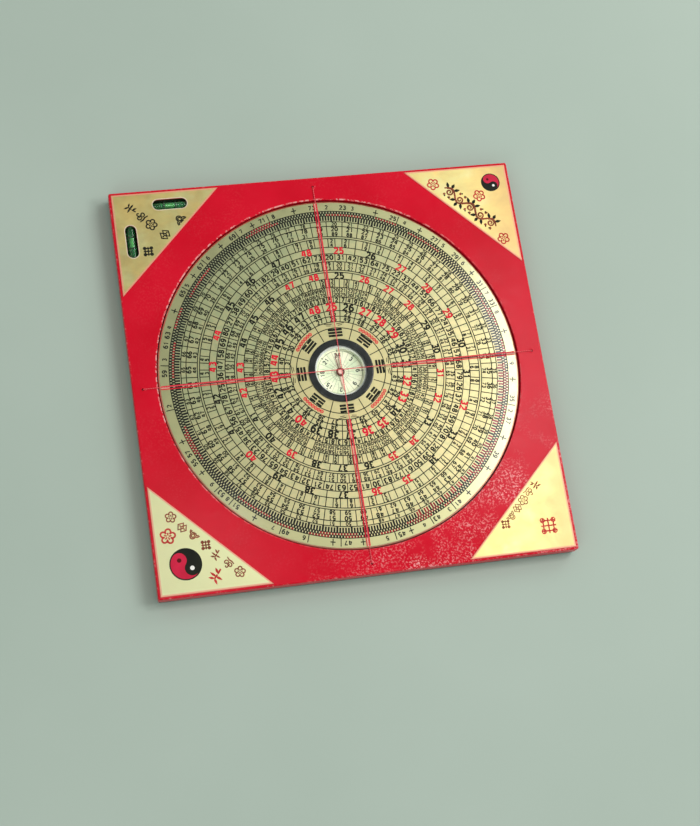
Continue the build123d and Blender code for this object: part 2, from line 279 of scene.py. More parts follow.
def printed_brass():
    """Satin lacquered brass, greener on the plain outer ring, with a fine matt tooth, painted shade towards
    the back left and a painted highlight along its edge.
    """
    look = Look("printed_brass", (0.72, 0.66, 0.36), 0.45, Metallic=1.0, Coat_Weight=0.4, Coat_Roughness=0.1)
    clouds = look.noise(46, 3, 0.5, distortion=0.4)
    face = look.mix(look.spread(clouds, 0.35, 0.68), (0.62, 0.57, 0.31), (0.70, 0.61, 0.315))
    mottle_and_shade = look.spread(look.noise(3.2, 3, 0.6), 0.42, 0.66, 0, 0.45)
    # Painted shade: the face grows darker and greener towards the back left, broken by noise
    painted_shade_back_left = look.math("ADD", look.leaning(), look.spread(look.noise(30, 3), 0.3, 0.7, -40, 40))
    mottle_and_shade = look.math("ADD", mottle_and_shade, look.spread(painted_shade_back_left, -30, 120, 0, 0.75), clamp=True)
    face = look.mix(mottle_and_shade, face, (0.44, 0.48, 0.27))
    rings = look.from_axis()
    outer = look.spread(rings, 102.3, 103.1)
    face = look.mix(look.times(outer, 0.75), face, (0.57, 0.57, 0.29))
    gold = look.spread(rings, 30.4, 31.0, 0.5, 0)
    face = look.mix(gold, face, (0.64, 0.56, 0.28))
    # Painted highlight: a pinkish band about 0.7 mm wide at the dial's edge, in place of the light on its
    # bevel
    rim = look.spread(rings, dial_radius - 0.9, dial_radius - 0.7)
    face = look.mix(rim, face, (0.84, 0.50, 0.34))
    look.drive("Base Color", face)
    satin = look.spread(look.noise(9, 4, 0.6), 0.3, 0.7, 0.39, 0.47)
    satin = look.between(outer, satin, look.math("SUBTRACT", satin, 0.07))
    look.drive("Roughness", look.between(rim, satin, 0.36))
    look.drive("Coat Weight", look.spread(rings, 92, 103, 0.12, 1.0))
    look.bump(look.noise(0.5, 2, 0.6), 0.25, 0.02)
    return look


def corner_brass():
    """Brass with cloudy, tarnished stains, painted light paling it at the front left, painted shade browning
    it at the right, and its edges and bevels reddish with painted highlight.
    """
    look = Look("corner_brass", (0.74, 0.60, 0.30), 0.45, Metallic=1.0, Coat_Weight=0.3, Coat_Roughness=0.2)
    broad = look.noise(24, 4, 0.55, distortion=0.8)
    face = look.mix(look.spread(broad, 0.33, 0.67), (0.92, 0.68, 0.25), (0.76, 0.69, 0.29))
    stains = look.noise(7, 5, 0.62, stretch=(0.55, 1.0, 1.0), distortion=0.3)
    face = look.mix(look.spread(stains, 0.42, 0.75, 0, 0.55), face, (0.66, 0.48, 0.20))
    bloom = look.spread(look.noise(15, 3, 0.5), 0.52, 0.72, 0, 0.5)
    face = look.mix(bloom, face, (0.80, 0.80, 0.42))
    right, back = look.coordinate(0), look.coordinate(1)
    # Painted light: the plates grow paler towards the front left
    pale = look.times(look.spread(right, 60, -60), look.spread(back, 60, -60))
    face = look.mix(look.times(pale, 0.85), face, (0.92, 0.95, 0.55))
    # Painted shade: the plates grow browner towards the right
    painted_shade_right = look.spread(look.math("ADD", right, look.spread(broad, 0.3, 0.7, -8, 8)), 98, 118, 0, 0.75)
    face = look.mix(painted_shade_right, face, (0.60, 0.40, 0.17))
    # Painted highlight: the bevels, and a band about 1 mm wide along the plate's edges, are reddish and less
    # metallic, so they show as bright lines
    upward = look.part(look.node("NewGeometry").outputs["Normal"], 2)
    bevel_highlight = look.spread(upward, 0.8, 0.95, 1, 0)
    border = look.math(
        "MAXIMUM", look.spread(look.from_middles("MAXIMUM"), plate_edge - 1.1, plate_edge - 0.9),
        look.spread(look.from_middles("ADD"), plate_diagonal + 1.1, plate_diagonal + 1.4, 1, 0))
    edge = look.math("MAXIMUM", bevel_highlight, look.times(border, 0.8))
    face = look.mix(edge, face, (0.86, 0.32, 0.22))
    look.drive("Metallic", look.spread(edge, 0, 1, 1, 0.15))
    look.drive("Base Color", face)
    look.drive("Roughness", look.spread(look.noise(8, 4, 0.6), 0.3, 0.7, 0.38, 0.46))
    look.bump(look.noise(1.1, 3, 0.6), 0.15, 0.02)
    return look


def metal(name, dark, light, roughness, grain):
    """A worked metal whose tone and gloss wander with its grain."""
    look = Look(name, light, roughness, Metallic=1.0)
    lines = look.noise(grain, 4, 0.6)
    look.drive("Base Color", look.mix(look.spread(lines, 0.3, 0.7), dark, light))
    look.drive("Roughness", look.spread(lines, 0.3, 0.7, roughness * 0.8, roughness * 1.3))
    look.bump(lines, 0.25, 0.02)
    return look


def coat(name, dark, light, roughness, grain, depth=0.03, **values):
    """A paint, plastic or ink whose tone and gloss wander a little."""
    look = Look(name, light, roughness, **values)
    clouds = look.noise(grain, 4, 0.55)
    look.drive("Base Color", look.mix(look.spread(clouds, 0.3, 0.7), dark, light))
    look.drive("Roughness", look.spread(clouds, 0.3, 0.7, roughness * 0.85, roughness * 1.2))
    look.bump(look.noise(grain * 0.3, 3, 0.55), 0.2, depth)
    return look


def needle_paint():
    """Brown paint on the pointer, paler and pinkish on the tail."""
    look = Look("needle_paint", (0.22, 0.08, 0.06), 0.35)
    clouds = look.noise(3, 4, 0.55)
    front = look.mix(clouds, (0.14, 0.045, 0.035), (0.30, 0.11, 0.085))
    tail = look.mix(clouds, (0.62, 0.36, 0.28), (0.80, 0.52, 0.42))
    look.drive("Base Color", look.mix(look.spread(look.coordinate(1), -3.5, -2.0, 1, 0), front, tail))
    look.bump(look.noise(0.9, 3, 0.55), 0.2, 0.02)
    return look


def twisted_thread(name, along, across):
    """Cotton thread of two plies wound round each other, along X or Y."""
    look = Look(name, (0.82, 0.08, 0.11), 0.65, Sheen_Weight=0.15)
    side = look.spread(look.coordinate(across), -thread_radius, thread_radius, -1, 1)
    turns = look.times(look.coordinate(along), math.pi / thread_pitch)
    wave = look.math("SINE", look.math("ADD", turns, look.math("ARCSINE", side)))
    plies = look.math("ABSOLUTE", wave)
    fibres = look.noise(0.12, 3, 0.6)
    # Painted shade: the thread is darker in the grooves between its plies, with noise of its fibres
    tone = look.spread(look.math("ADD", plies, look.times(fibres, 0.5)), 0.15, 1.2)
    look.drive("Base Color", look.mix(tone, (0.42, 0.012, 0.025), (0.90, 0.10, 0.12)))
    look.bump(look.math("ADD", plies, look.times(fibres, 0.25)), 0.8, 0.08)
    return look


def core_wood():
    look = Look("core_wood", (0.36, 0.24, 0.13), 0.6)
    grain = look.noise(4, 5, 0.6, stretch=(0.05, 1.0, 1.0), distortion=0.6)
    look.drive("Base Color", look.mix(grain, (0.22, 0.13, 0.06), (0.50, 0.34, 0.19)))
    look.bump(grain, 0.4, 0.1)
    return look


def clear(name, tint, ior, smears=0.03, weight=1.0):
    """Glass or liquid that lets light through, with faint smears in its gloss."""
    look = Look(name, tint, 0.0, Transmission_Weight=weight, IOR=ior)
    look.drive("Roughness", look.spread(look.noise(7, 3), 0.45, 0.75, 0.0, smears))
    return look


# Metals: the ends of the tone, its roughness and the grain of its clouds in mm
METALS = {
    "bare_brass": ((0.58, 0.42, 0.18), (0.82, 0.64, 0.32), 0.28, 3),
    "steel": ((0.42, 0.42, 0.42), (0.66, 0.66, 0.65), 0.3, 2),
    "cup_aluminium": ((0.55, 0.55, 0.55), (0.75, 0.75, 0.74), 0.34, 2),
    "collar_bronze": ((0.09, 0.03, 0.022), (0.20, 0.075, 0.055), 0.35, 2),
}

DULL = {"Specular_IOR_Level": 0.15}
VARNISHED = {"Specular_IOR_Level": 0.15, "Coat_Weight": 1.0, "Coat_Roughness": 0.12}

# Paints, plastics and inks: the same four values, and how they shine
COATS = {
    "black_enamel": ((0.008, 0.011, 0.011), (0.019, 0.023, 0.022), 0.22, 6, {"Coat_Weight": 0.4}),
    "pale_ring": ((0.90, 0.92, 0.88), (0.97, 0.98, 0.95), 0.3, 5, {}),
    "capsule_card": ((0.60, 0.70, 0.46), (0.92, 0.87, 0.67), 0.55, 7, {}),
    "plug_black": ((0.02, 0.025, 0.02), (0.05, 0.06, 0.05), 0.6, 2, {}),
    "jewel_pink": ((0.90, 0.52, 0.46), (0.95, 0.66, 0.58), 0.2, 2, {"Coat_Weight": 0.5}),
    "ink_black": ((0.006, 0.008, 0.006), (0.018, 0.02, 0.012), 0.6, 14, DULL),
    "ink_gloss": ((0.006, 0.008, 0.006), (0.018, 0.02, 0.012), 0.6, 14, VARNISHED),
    "ink_line": ((0.012, 0.014, 0.007), (0.034, 0.034, 0.018), 0.6, 20, DULL),
    "ink_red": ((0.64, 0.008, 0.028), (0.80, 0.018, 0.042), 0.55, 12, DULL),
    "ink_crimson": ((0.52, 0.006, 0.035), (0.66, 0.014, 0.06), 0.5, 12, {"Specular_IOR_Level": 0.2}),
    "ink_brick": ((0.44, 0.022, 0.02), (0.64, 0.06, 0.05), 0.55, 7, DULL),
    "ink_dark_red": ((0.07, 0.002, 0.003), (0.14, 0.005, 0.006), 0.55, 8, DULL),
    "ink_maroon": ((0.20, 0.006, 0.014), (0.40, 0.012, 0.022), 0.55, 9, VARNISHED),
    "ink_rust": ((0.14, 0.03, 0.012), (0.36, 0.09, 0.045), 0.6, 6, DULL),
    "ink_pale": ((0.84, 0.84, 0.76), (0.93, 0.93, 0.88), 0.4, 4, {}),
    # A painted highlight round the level windows
    "window_highlight_paint": ((0.62, 0.50, 0.34), (0.86, 0.74, 0.56), 0.35, 5, {}),
    "ink_blush": ((0.72, 0.34, 0.24), (0.85, 0.46, 0.34), 0.5, 10, {}),
    "ink_grey": ((0.24, 0.28, 0.18), (0.42, 0.42, 0.28), 0.6, 8, {}),
    "ink_card": ((0.02, 0.035, 0.02), (0.06, 0.08, 0.045), 0.6, 3, {}),
}


def all_looks():
    """Every finish under the name of its slot, and the inks."""
    made = {
        "red_lacquer": red_lacquer(),
        "black_lacquer": black_lacquer(),
        "printed_brass": printed_brass(),
        "corner_brass": corner_brass(),
        "core_wood": core_wood(),
        "clear_glass": clear("clear_glass", (0.97, 1.0, 0.98), 1.45, smears=0.05),
        "vial_glass": clear("vial_glass", (0.86, 0.97, 0.90), 1.47),
        "vial_liquid": clear("vial_liquid", (0.045, 0.30, 0.105), 1.34, weight=0.72),
        "vial_air": clear("vial_air", (0.90, 0.95, 0.50), 1.02, weight=0.08),
        "needle_paint": needle_paint(),
        "red_thread": twisted_thread("red_thread", 0, 1),
        "red_thread_y": twisted_thread("red_thread_y", 1, 0),
    }
    for name, values in METALS.items():
        made[name] = metal(name, *values)
    for name, (*values, shine) in COATS.items():
        made[name] = coat(name, *values, **shine)
    return made


looks = all_looks()


def finish_nodes():
    """Gives each CAD node the look of its slot; the thread along Y has its plies turned that way."""
    for subpart in frame["record"]["subparts"]:
        materials = nodes[subpart["node"]].data.materials
        materials.clear()
        materials.append(looks[subpart["material_slot"]].material)
    nodes["cross_thread_y"].data.materials[0] = looks["red_thread_y"].material


def add_mesh(name, corners, faces, look):
    """A new object in the scene, its corners in mm."""
    mesh = bpy.data.meshes.new(name)
    mesh.from_pydata([[c * MM for c in corner] for corner in corners], [], faces)
    mesh.materials.append(look.material)
    obj = bpy.data.objects.new(name, mesh)
    bpy.context.scene.collection.objects.link(obj)
    return obj


# Print

# Ink rises a little from its surface and is rooted in it. Shapes that cross differ by a step in height, and
# a mitred corner reaches out no further than the limit allows.
INK_LIFT = 0.03
INK_ROOT = 0.02
TOP_STEP = 0.002
TOPS = 5
MITRE_LIMIT = 0.75


def on_ring(radius, angle):
    """A place on the dial, its up pointing outwards: maps (right, up) in mm to (x, y)."""
    sine, cosine = math.sin(math.radians(angle)), math.cos(math.radians(angle))

    def spot(right, up):
        return (radius + up) * sine + right * cosine, (radius + up) * cosine - right * sine

    return spot


def on_sheet(x, y, turn=0.0, size=1.0):
    """A place on a flat sheet with its up turned clockwise, in units of the size."""
    sine, cosine = math.sin(math.radians(turn)), math.cos(math.radians(turn))

    def spot(right, up):
        return (x + size * (up * sine + right * cosine), y + size * (up * cosine - right * sine))

    return spot


def arc(middle_x, middle_y, reach_x, reach_y, start, end, steps=8):
    """Points on an ellipse between two angles, anticlockwise from the right."""
    turns = [math.radians(start + (end - start) * k / steps) for k in range(steps + 1)]
    return [(middle_x + reach_x * math.cos(t), middle_y + reach_y * math.sin(t)) for t in turns]


class Ink:
    """Shapes printed on a flat surface, in mm, which become one piece of thin closed prisms."""

    def __init__(self, surface, lift=INK_LIFT):
        self.bottom = surface - INK_ROOT
        self.top = surface + lift
        self.shapes = 0
        self.corners = []
        self.faces = []

    def next_top(self):
        """The top of the next shape: shapes that cross don't lie in one plane."""
        self.shapes += 1
        return self.top + TOP_STEP * (self.shapes % TOPS)

    def area(self, outline):
        """A filled outline."""
        count = len(outline)
        turning = sum(a[0] * b[1] - b[0] * a[1] for a, b in zip(outline, outline[1:] + outline[:1]))
        if turning < 0:
            outline = outline[::-1]
        first = len(self.corners)
        for height in (self.bottom, self.next_top()):
            self.corners += [(x, y, height) for x, y in outline]
        self.faces.append([first + count + k for k in range(count)])
        self.faces.append([first + k for k in reversed(range(count))])
        for k in range(count):
            following = (k + 1) % count
            self.faces.append([first + k, first + following, first + count + following, first + count + k])

    def band(self, left, right, closed=False, top=None):
        """A strip between two lines of as many points, which rises a little along its way."""
        first = len(self.corners)
        count = len(left)
        top = top or self.next_top()
        for k, ((left_x, left_y), (right_x, right_y)) in enumerate(zip(left, right)):
            height = top if closed else top + TOP_STEP / 2 * k / count
            self.corners += [(left_x, left_y, self.bottom), (right_x, right_y, self.bottom)]
            self.corners += [(left_x, left_y, height), (right_x, right_y, height)]
        for k in range(count if closed else count - 1):
            a = first + 4 * k
            b = first + 4 * ((k + 1) % count)
            self.faces += [[a + 2, a + 3, b + 3, b + 2], [a, b, b + 1, a + 1]]
            self.faces += [[a, a + 2, b + 2, b], [a + 1, b + 1, b + 3, a + 3]]
        if not closed:
            end = first + 4 * (count - 1)
            self.faces += [[first, first + 1, first + 3, first + 2], [end + 1, end, end + 2, end + 3]]

    def stroke(self, points, width, closed=False):
        """A line of that width, or of a width for each point, with mitred corners."""
        count = len(points)
        widths = width if isinstance(width, list) else [width] * count
        line = [Vector(p) for p in points]
        left, right = [], []
        for k, here in enumerate(line):
            before = line[k - 1] if closed or k else here
            after = line[(k + 1) % count] if closed or k + 1 < count else here
            legs = [(a, b) for a, b in ((before, here), (here, after)) if a != b]
            sides = [Vector((a.y - b.y, b.x - a.x)).normalized() for a, b in legs]
            side = sum(sides, Vector((0, 0))).normalized()
            reach = widths[k] / 2 / max(MITRE_LIMIT, side.dot(sides[0]))
            left.append(here + side * reach)
            right.append(here - side * reach)
        self.band(left, right, closed)

    def circle(self, radius, width, steps=240):
        turns = [2 * math.pi * k / steps for k in range(steps)]
        outer, inner = ([(r * math.sin(t), r * math.cos(t)) for t in turns]
                        for r in (radius + width / 2, radius - width / 2))
        self.band(outer, inner, closed=True, top=self.top + TOP_STEP * (TOPS + 1))

    def spoke(self, angle, inner, outer, width):
        spot = on_ring(0, angle)
        self.stroke([spot(0, inner), spot(0, outer)], width)

    def piece(self, name, look, body, slot):
        """Makes the piece and lets it ride on a body."""
        obj = add_mesh(name, self.corners, self.faces, looks[look])
        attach(obj, body)


# Plain numerals, each digit as lines in a box one unit high and DIGIT_WIDTH wide, centred on it

DIGIT_WIDTH = 0.62
DIGIT_GAP = 0.3

digit_lines = {
    "0": [(arc(0, 0, 0.5, 0.5, 0, 330, 11), True)],
    "1": [([(-0.3, 0.24), (0.05, 0.5), (0.05, -0.5)], False)],
    "2": [(arc(0, 0.2, 0.44, 0.3, 165, -35, 6) + [(-0.46, -0.5), (0.5, -0.5)], False)],
    "3": [(arc(0, 0.24, 0.4, 0.26, 150, -80, 6) + arc(0, -0.24, 0.46, 0.26, 75, -150, 6), False)],
    "4": [([(0.24, -0.5), (0.24, 0.5)], False), ([(-0.12, 0.5), (-0.5, -0.2), (0.5, -0.2)], False)],
    "5": [([(0.42, 0.5), (-0.36, 0.5), (-0.4, 0.04)] + arc(0, -0.18, 0.46, 0.32, 120, -145, 7), False)],
    "6": [([(0.36, 0.46)] + arc(0.1, 0.0, 0.56, 0.5, 105, 180, 4)
           + arc(0, -0.2, 0.46, 0.3, 180, 500, 10), False)],
    "7": [([(-0.46, 0.5), (0.46, 0.5), (-0.12, -0.5)], False)],
    "8": [(arc(0, 0.25, 0.38, 0.25, 0, 315, 7), True), (arc(0, -0.24, 0.46, 0.27, 0, 320, 8), True)],
    "9": [([(-0.36, -0.46)] + arc(-0.1, 0.0, 0.56, 0.5, -75, 0, 4)
           + arc(0, 0.2, 0.46, 0.3, 0, 320, 10), False)],
}


def number(ink, spot, value, height, weight, up=0.0):
    """A plain number, its lines as thick as the weight, centred on the spot or raised from it."""
    text = str(value)
    step = height * (DIGIT_WIDTH + DIGIT_GAP)
    for k, digit in enumerate(text):
        shift = (k - (len(text) - 1) / 2) * step
        for points, closed in digit_lines[digit]:
            line = [spot(shift + x * height * DIGIT_WIDTH, up + y * height) for x, y in points]
            ink.stroke(line, weight, closed)


def figure(ink, spot, lines, width, pitch, thickness, gap):
    """A trigram: whole or broken bars, the first one innermost."""
    start = -pitch * (len(lines) - 1) / 2
    for k, whole in enumerate(lines):
        up = start + k * pitch
        runs = ((-width / 2, width / 2),) if whole else ((-width / 2, -gap / 2), (gap / 2, width / 2))
        for left, right in runs:
            ink.stroke([spot(left, up), spot(right, up)], thickness)


# The dial's rings: each has its radii in mm, its number of cells and the angle of its first divider

RING_LINE = 0.56
CELL_LINE = 0.54

SCALE_RING = (102.7, 99.6, 360, 0.0)
COMB_RING = (99.6, 95.8, 360, 0.0)
NARROW_RING = (95.8, 92.7, 60, 3.0)
SIXTY_RING = (92.7, 86.0, 60, 3.0)
OUTER_PAIR_RING = (84.7, 79.0, 120, 0.0)
OUTER_MARK_RING = (79.0, 74.7, 24, 0.0)
SIXTY_FOUR_RING = (74.7, 69.6, 64, 0.0)
INNER_SIXTY_RING = (69.6, 64.0, 60, 4.6)
MIDDLE_MARK_RING = (62.7, 58.4, 24, 0.0)
INNER_PAIR_RING = (58.4, 52.9, 120, 1.5)
SEVENTY_TWO_RING = (52.9, 46.7, 72, 2.5)
THIN_SEVENTY_TWO_RING = (46.7, 43.0, 72, 2.5)
INNER_MARK_RING = (43.0, 37.9, 24, 7.5)
STAR_RING = (37.9, 34.3, 24, 7.5)
INNER_STAR_RING = (34.3, 30.8, 24, 7.5)
SCROLL_RING = (30.8, 26.9, 8, 22.5)
TRIGRAM_RING = (26.9, 20.2, 8, 22.5)

DIVIDED_RINGS = (
    NARROW_RING, SIXTY_RING, OUTER_PAIR_RING, OUTER_MARK_RING, SIXTY_FOUR_RING, INNER_SIXTY_RING,
    MIDDLE_MARK_RING, INNER_PAIR_RING, SEVENTY_TWO_RING, THIN_SEVENTY_TWO_RING, INNER_MARK_RING,
    STAR_RING, INNER_STAR_RING, SCROLL_RING, TRIGRAM_RING,
)

# Red (r) or black (k) for the 24 large marks of each ring, clockwise from the first after +Y
OUTER_MARK_COLOURS = "rkrrrkkrkkrrkkkrkkrrkkkr"
MIDDLE_MARK_COLOURS = "krrrkkrrkrrkkkrkkrrkkkrr"
INNER_MARK_COLOURS = "rkrrrkkrrkrrkkkrkkrrkkkr"

# Trigrams clockwise from +Y, their bars from the centre outwards: 1 whole, 0 broken
TRIGRAMS = ("111", "011", "010", "001", "000", "100", "101", "110")


def cells(ring):
    """The number, middle radius and middle angle of each cell of a ring."""
    outer, inner, count, first = ring
    pitch = 360 / count
    return [(k, (outer + inner) / 2, first + (k + 0.5) * pitch) for k in range(count)]


def dial_lines():
    """The circles between the rings and the dividers of their cells."""
    ink = Ink(face_top, INK_LIFT * 0.6)
    radii = {radius for ring in DIVIDED_RINGS + (SCALE_RING, COMB_RING) for radius in ring[:2]}
    for radius in sorted(radii):
        if radius > TRIGRAM_RING[1]:
            ink.circle(radius, RING_LINE)
    for outer, inner, count, first in DIVIDED_RINGS:
        for k in range(count):
            ink.spoke(first + 360 * k / count, inner, outer, CELL_LINE)
    ink.piece("dial_print_lines", "ink_line", "dial", "printed_brass")


# The stretches, in degrees, where many dots of the outer row and most ticks of the comb are red
RED_ARC = range(64, 215)
RED_COMB_ARC = range(92, 162)


def dial_scale():
    """The two fine rings at the edge: two rows of dots over a comb of ticks, one to a degree, red in part."""
    black, red = Ink(face_top), Ink(face_top)
    near, far, width = 0.2, 1.4, 1.15
    short_start, short_width, long_width = COMB_RING[1] + 0.7, 1.1, 1.2
    black.circle(sum(SCALE_RING[:2]) / 2, 0.42)
    for k, radius, angle in cells(SCALE_RING):
        ink = red if k % 30 in range(3, 16) else black
        ink.spoke(angle, radius - far, radius - near, width)
        reddish = k % 12 in range(7) if k in RED_ARC else k % 45 in range(20, 28)
        ink = red if reddish else black
        ink.spoke(angle + 0.5, radius + near, radius + far, width)
    for k, radius, angle in cells(COMB_RING):
        ink = red if k in RED_COMB_ARC and k % 3 else black
        if k % 5:
            ink.spoke(angle - 0.5, short_start, COMB_RING[0], short_width)
        else:
            ink.spoke(angle - 0.5, COMB_RING[1], COMB_RING[0], long_width)
    black.piece("dial_print_scale_black", "ink_gloss", "dial", "printed_brass")
    red.piece("dial_print_scale_red", "ink_maroon", "dial", "printed_brass")


# The marks of the plain outer ring, in degrees clockwise from +Y: crosses, two-digit numbers, small digits
# and dividing bars, spaced unevenly as such rings are
CROSSES = (
    20.4, 36.4, 59.2, 82.0, 99.0, 119.7, 131.5, 142.2, 165.4, 181.6, 191.3, 217.5, 239.5, 251.3, 296.5, 310.3,
    324.3, 337.4, 352.4,
)
NUMBERS = (
    9.1, 26.5, 42.1, 51.1, 63.7, 71.1, 105.6, 113.4, 126.0, 147.1, 155.9, 168.7, 186.4, 206.7, 224.4, 230.5,
    243.5, 246.9, 274.7, 284.4, 287.8, 303.1, 314.4, 329.4, 341.1, 358.6,
)
SMALL_DIGITS = (
    3.6, 12.4, 30.8, 45.8, 54.8, 67.6, 75.0, 93.4, 110.0, 150.8, 160.7, 173.6, 200.6, 210.8, 227.9, 234.6,
    263.8, 279.4, 290.6, 306.3, 318.3, 333.0, 345.2,
)
BARS = (
    28.2, 43.9, 52.8, 65.8, 72.8, 107.9, 149.0, 157.8, 170.8, 188.7, 199.2, 208.4, 226.4, 232.4, 262.4, 277.4,
    305.0, 316.4, 331.2, 343.3,
)


def dial_margin():
    """The plain outer ring with its uneven marks."""
    ink = Ink(face_top)
    middle = (SCALE_RING[0] + dial_radius) / 2 - 0.6
    for angle in CROSSES:
        spot = on_ring(middle, angle)
        ink.stroke([spot(0, -2.1), spot(0, 2.0)], 0.62)
        ink.stroke([spot(-1.5, -0.1), spot(1.5, -0.1)], 0.7)
    for k, angle in enumerate(NUMBERS):
        number(ink, on_ring(middle, angle), 23 + 2 * k, 2.5, 0.7)
    for k, angle in enumerate(SMALL_DIGITS):
        number(ink, on_ring(middle, angle), 2 + k % 8, 2.3, 0.6)
    for angle in BARS:
        ink.spoke(angle, SCALE_RING[0], middle + 2.3, 0.55)
    ink.piece("dial_print_margin", "ink_gloss", "dial", "printed_brass")


# The small numbers of the cells: the ring, whether cell k holds them, and for each row the number in cell k,
# its height, its weight and how far it stands out from the cell's middle
SMALL_NUMBERS = (
    (NARROW_RING, lambda k: True, ((lambda k: 20 + k, 1.9, 0.54, 0.0),)),
    (SIXTY_RING, lambda k: True, ((lambda k: 20 + k, 2.5, 0.74, 1.62), (lambda k: 89 - k, 2.1, 0.62, -1.72))),
    (OUTER_PAIR_RING, lambda k: k % 5 in (1, 3),
     ((lambda k: 2 + k // 5 % 8, 2.1, 0.64, 1.42), (lambda k: 3 + k % 7, 2.0, 0.62, -1.42))),
    (SIXTY_FOUR_RING, lambda k: True, ((lambda k: 20 + k * 11 % 64, 2.9, 0.84, 0.3),)),
    (INNER_SIXTY_RING, lambda k: True,
     ((lambda k: 20 + k, 2.1, 0.62, 1.38), (lambda k: 20 + k * 7 % 60, 1.9, 0.56, -1.42))),
    (INNER_PAIR_RING, lambda k: k % 5 in (0, 3),
     ((lambda k: 2 + k // 2 % 8, 2.0, 0.62, 1.32), (lambda k: 2 + k % 7, 1.9, 0.6, -1.32))),
    (SEVENTY_TWO_RING, lambda k: k % 6 != 5,
     ((lambda k: 20 + k, 2.0, 0.58, 1.42), (lambda k: 20 + k * 5 % 60, 1.9, 0.55, -1.42))),
    (THIN_SEVENTY_TWO_RING, lambda k: True, ((lambda k: 2 + k * 5 % 8, 2.4, 0.76, 0.0),)),
    (STAR_RING, lambda k: True, ((lambda k: 22 + k, 2.5, 0.75, 0.0),)),
    (INNER_STAR_RING, lambda k: True, ((lambda k: 49 - k, 2.4, 0.72, 0.0),)),
)


def dial_small_marks():
    """The small black numbers of the cells, in one row or two."""
    ink = Ink(face_top, INK_LIFT * 1.3)
    for ring, holds, rows in SMALL_NUMBERS:
        for k, radius, angle in cells(ring):
            if holds(k):
                for value, height, weight, up in rows:
                    number(ink, on_ring(radius, angle), value(k), height, weight, up)
    ink.piece("dial_print_figures", "ink_black", "dial", "printed_brass")


def dial_large_marks():
    """The three rings of 24 large numbers, red or black: ring, shift, colours, height and weight."""
    inks = {colour: Ink(face_top, INK_LIFT * 1.3) for colour in "rk"}
    rings = (
        (OUTER_MARK_RING, 0.0, OUTER_MARK_COLOURS, 3.6, 1.06),
        (MIDDLE_MARK_RING, 0.0, MIDDLE_MARK_COLOURS, 3.5, 1.04),
        (INNER_MARK_RING, -15.0, INNER_MARK_COLOURS, 4.0, 1.18),
    )
    for ring, shift, colours, height, weight in rings:
        for k, radius, angle in cells(ring):
            number(inks[colours[k]], on_ring(radius, angle + shift), 25 + k, height, weight)
    inks["r"].piece("dial_print_large_red", "ink_red", "dial", "printed_brass")
    inks["k"].piece("dial_print_large_black", "ink_black", "dial", "printed_brass")


def dial_trigrams():
    """The eight trigrams round the capsule, with scrolls outside them."""
    ink, red = Ink(face_top), Ink(face_top)
    for k, bars in enumerate(TRIGRAMS):
        figure(ink, on_ring(23.9, 45 * k), [bar == "1" for bar in bars], 8.6, 1.86, 1.4, 0.9)
        if k % 2:
            scroll(red, 28.7, 45 * k)
        else:
            spot = on_ring(28.9, 45 * k)
            for side in (-1, 1):
                ink.stroke([spot(side * 1.4, 0.5), spot(side * 6.2, 0.9)], 0.45)
                ink.stroke([spot(side * 2.2, -0.5), spot(side * 5.0, -0.2)], 0.4)
    ink.piece("dial_print_trigrams", "ink_black", "dial", "printed_brass")
    red.piece("dial_print_scrolls", "ink_red", "dial", "printed_brass")


def scroll(ink, radius, angle):
    """A braid along a ring: two crossing waves with a bead in each of their eyes."""
    reach = 14.5
    steps = 56
    eyes = 7
    for side in (-1, 1):
        wave = []
        for k in range(steps + 1):
            share = k / steps
            turn = angle + (share - 0.5) * 2 * reach
            wave.append(on_ring(radius + side * 0.9 * math.sin(share * eyes * math.pi), turn)(0, 0))
        ink.stroke(wave, 0.55)
    for k in range(eyes):
        spot = on_ring(radius, angle + ((k + 0.5) / eyes - 0.5) * 2 * reach)
        ink.area([spot(*p) for p in arc(0, 0, 0.42, 0.34, 0, 315, 7)])


def dial_axes():
    """The printed red pair of lines beside each axis, with a blush between them."""
    red, blush = Ink(face_top, INK_LIFT * 1.8), Ink(face_top, INK_LIFT * 0.3)
    inner, outer = SCROLL_RING[0], dial_radius - 1.2
    for angle in (0, 90, 180, 270):
        spot = on_ring(0, angle)
        for side in (-0.9, 0.9):
            red.stroke([spot(side, inner), spot(side, outer)], 0.55)
        blush.stroke([spot(0, inner), spot(0, outer)], 1.1)
    red.piece("dial_print_axes", "ink_red", "dial", "printed_brass")
    blush.piece("dial_print_axis_blush", "ink_blush", "dial", "printed_brass")


def card_print():
    """The capsule's card: two fine circles, rays, and plain numbers at every third of 24 directions."""
    ink, rays = Ink(card_top, INK_LIFT * 1.5), Ink(card_top)
    border = 13.6
    rays.circle(border, 0.4, 120)
    rays.circle(5.2, 0.2, 90)
    for k in range(24):
        rays.spoke(15 * k, 3.4, border if k % 3 else 8.4, 0.2)
    for k in range(8):
        number(ink, on_ring(10.9, 45 * k), 3 * k if k else 24, 2.3, 0.62)
        ink.spoke(45 * k, 12.9, 14.2, 0.6)
    ink.piece("card_print_numbers", "ink_card", "dial", "capsule_card")
    rays.piece("card_print_rays", "ink_grey", "dial", "capsule_card")


# Ornaments of the corner plates, drawn in a box of one unit and placed by a spot


def spiral(middle_x, middle_y, reach, start, turns, steps=18):
    """Points that wind in from the reach to near the middle, clockwise for positive turns."""
    points = []
    for k in range(steps + 1):
        share = k / steps
        t = math.radians(start) - 2 * math.pi * turns * share
        radius = reach * (1 - 0.82 * share)
        points.append((middle_x + radius * math.cos(t), middle_y + radius * math.sin(t)))
    return points


